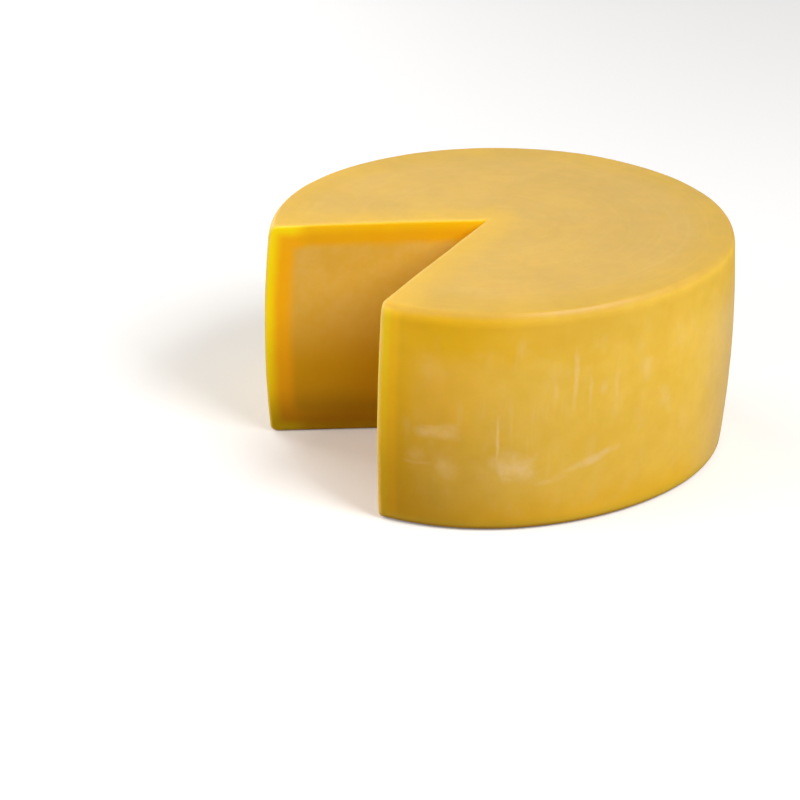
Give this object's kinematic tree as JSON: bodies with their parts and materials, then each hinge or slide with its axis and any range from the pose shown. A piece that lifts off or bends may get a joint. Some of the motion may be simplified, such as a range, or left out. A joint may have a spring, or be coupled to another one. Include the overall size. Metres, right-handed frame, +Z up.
{
  "type": "cheese wheel with a wedge cut out",
  "caption": "Low wheel of smooth yellow cheese, barrel-sided and slightly out of round, with soft shoulders, a flat underside and a wedge cut out to its middle.",
  "frame": {"origin": "on the axis of the uncut wheel, in the flat underside it stands on", "axes": "+Z up along the wheel's axis, +X to the right in the picture, +Y away from the viewer; the missing wedge opens towards the front left, between the bearings 187.8 and 244.9 degrees from +X"},
  "size_m": [0.2513, 0.2369, 0.1226],
  "materials": {
    "cheese": "satin, smooth waxy yellow rind, paler and duller on the two cut faces"
  },
  "bodies": {
    "root": {"cheese_wheel": "cheese"}
  },
  "joints": []
}
